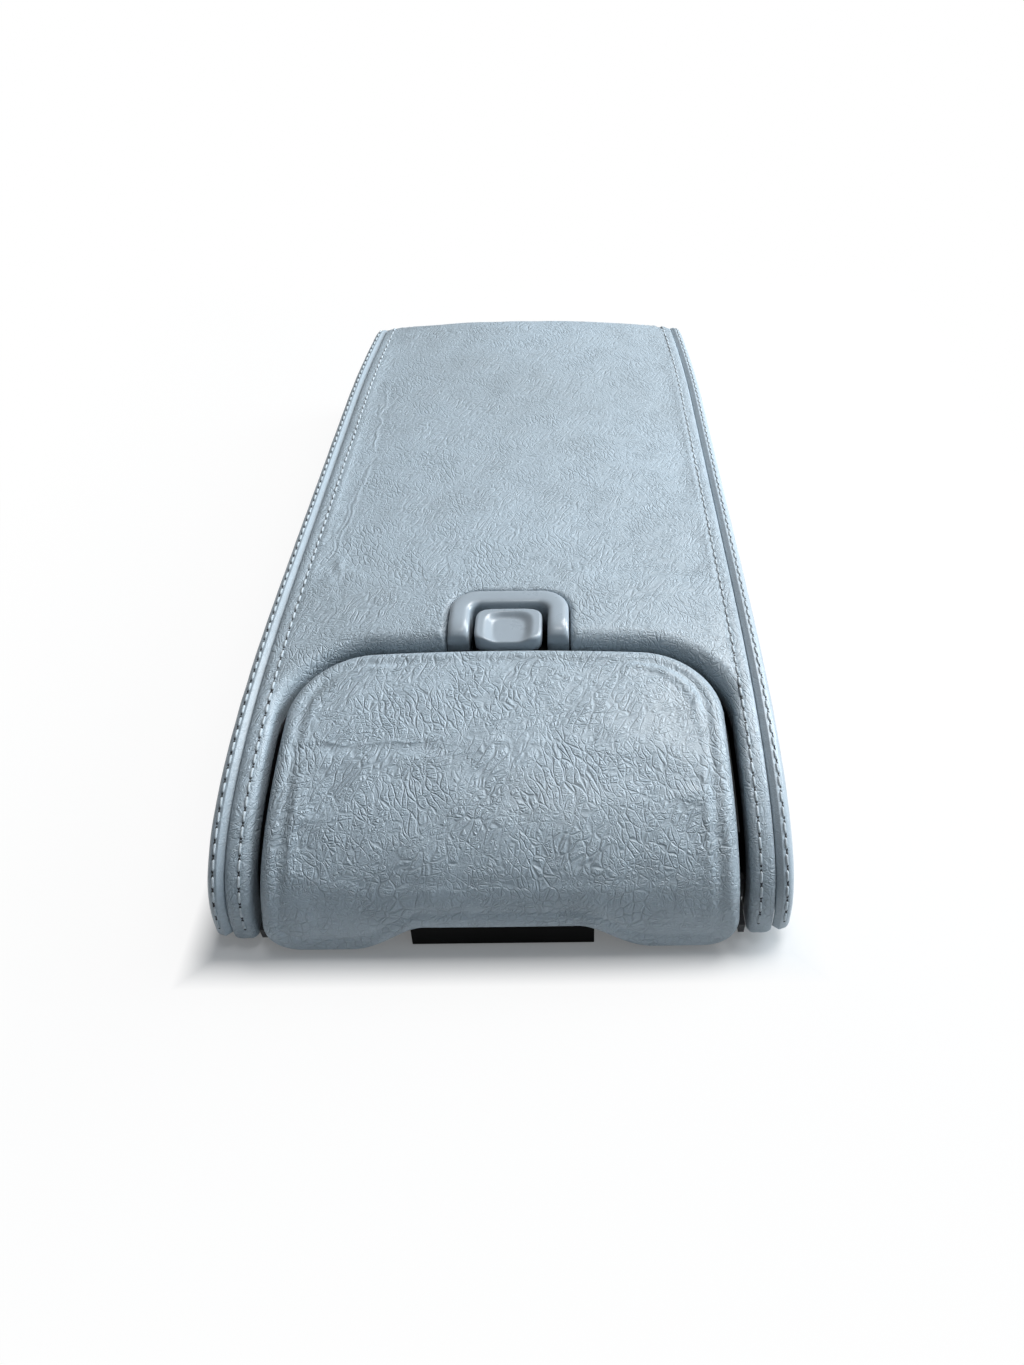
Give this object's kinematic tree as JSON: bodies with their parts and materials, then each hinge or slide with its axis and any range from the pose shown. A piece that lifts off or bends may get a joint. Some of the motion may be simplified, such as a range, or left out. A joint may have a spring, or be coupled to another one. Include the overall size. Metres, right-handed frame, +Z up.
{
  "type": "center console armrest",
  "caption": "Leather-padded center console armrest with a push-button front lid over a shallow tray, a front release paddle and a rear hinge bracket.",
  "frame": {"origin": "on the ground plane at the middle of the armrest's box, at the face of the rubber stops", "axes": "+Z up, -Y towards the armrest's front end with the lid and paddle, +X to the right seen from the front"},
  "size_m": [0.1938, 0.4002, 0.0547],
  "materials": {
    "base_shell": "grained",
    "bolt_spring": "satin zinc",
    "bump_stop_1": "matte",
    "bump_stop_2": "matte",
    "bump_stop_3": "matte",
    "bump_stop_4": "matte",
    "button_spring": "satin zinc",
    "case_screw_1": "satin zinc",
    "case_screw_2": "satin zinc",
    "case_screw_3": "satin zinc",
    "case_screw_4": "satin zinc",
    "centre_pad": "satin grained",
    "console_bracket": "satin zinc",
    "console_hook": "satin zinc",
    "hinge_bush_left": "matte",
    "hinge_bush_right": "matte",
    "hinge_pin": "satin zinc",
    "latch_bolt": "grained",
    "latch_housing": "grained",
    "lid_hinge_pin_left": "satin zinc",
    "lid_hinge_pin_right": "satin zinc",
    "lid_pad": "satin grained",
    "lid_panel": "grained",
    "lid_stop_left": "matte",
    "lid_stop_right": "matte",
    "lid_striker": "satin zinc",
    "pad_carrier": "grained",
    "paddle_pin": "satin zinc",
    "paddle_spring": "satin zinc",
    "release_bezel": "satin",
    "release_button": "satin",
    "release_paddle": "gloss",
    "side_pad_left": "satin grained",
    "side_pad_right": "satin grained",
    "storage_tray": "grained",
    "striker_screw_1": "satin zinc",
    "striker_screw_2": "satin zinc",
    "tray_mat": "matte ribbed",
    "tray_screw_1": "satin zinc",
    "tray_screw_2": "satin zinc"
  },
  "bodies": {
    "armrest": {"base_shell": "base_shell", "bolt_spring": "bolt_spring", "bump_stop_1": "bump_stop_1", "bump_stop_2": "bump_stop_2", "bump_stop_3": "bump_stop_3", "bump_stop_4": "bump_stop_4", "button_spring": "button_spring", "case_screw_1": "case_screw_1", "case_screw_2": "case_screw_2", "case_screw_3": "case_screw_3", "case_screw_4": "case_screw_4", "centre_pad": "centre_pad", "hinge_pin": "hinge_pin", "latch_housing": "latch_housing", "lid_hinge_pin_left": "lid_hinge_pin_left", "lid_hinge_pin_right": "lid_hinge_pin_right", "lid_stop_left": "lid_stop_left", "lid_stop_right": "lid_stop_right", "pad_carrier": "pad_carrier", "paddle_pin": "paddle_pin", "paddle_spring": "paddle_spring", "release_bezel": "release_bezel", "side_pad_left": "side_pad_left", "side_pad_right": "side_pad_right", "storage_tray": "storage_tray", "tray_mat": "tray_mat", "tray_screw_1": "tray_screw_1", "tray_screw_2": "tray_screw_2"},
    "lid": {"lid_pad": "lid_pad", "lid_panel": "lid_panel", "lid_striker": "lid_striker", "striker_screw_1": "striker_screw_1", "striker_screw_2": "striker_screw_2"},
    "button": {"release_button": "release_button"},
    "bolt": {"latch_bolt": "latch_bolt"},
    "paddle": {"release_paddle": "release_paddle", "console_hook": "console_hook"},
    "bracket": {"console_bracket": "console_bracket", "hinge_bush_left": "hinge_bush_left", "hinge_bush_right": "hinge_bush_right"}
  },
  "joints": [
    {"name": "lid_hinge", "type": "hinge", "parent": "armrest", "child": "lid", "pos_m": [0, -0.195, 0.0076], "axis": [1, 0, 0], "range_deg": [0, 90]},
    {"name": "button_press", "type": "slide", "parent": "armrest", "child": "button", "axis": [0, 0, -1], "range_m": [0, 0.003], "stiffness_N_per_m": 500, "springref_m": -0.002, "deforming": ["button_spring"]},
    {"name": "bolt_slide", "type": "slide", "parent": "armrest", "child": "bolt", "axis": [0, 1, 0], "range_m": [0, 0.003], "stiffness_N_per_m": 400, "springref_m": -0.002, "deforming": ["bolt_spring"]},
    {"name": "paddle_pull", "type": "hinge", "parent": "armrest", "child": "paddle", "pos_m": [0, -0.181, 0.019], "axis": [-1, 0, 0], "range_deg": [0, 7], "stiffness_Nm_per_rad": 0.06, "springref_deg": -11.46},
    {"name": "console_hinge", "type": "hinge", "parent": "armrest", "child": "bracket", "pos_m": [0, 0.177, 0.007], "axis": [1, 0, 0], "range_deg": [0, 95]}
  ],
  "couplings": [
    {"joint": "bolt_slide", "follows": "button_press", "ratio": 1}
  ]
}
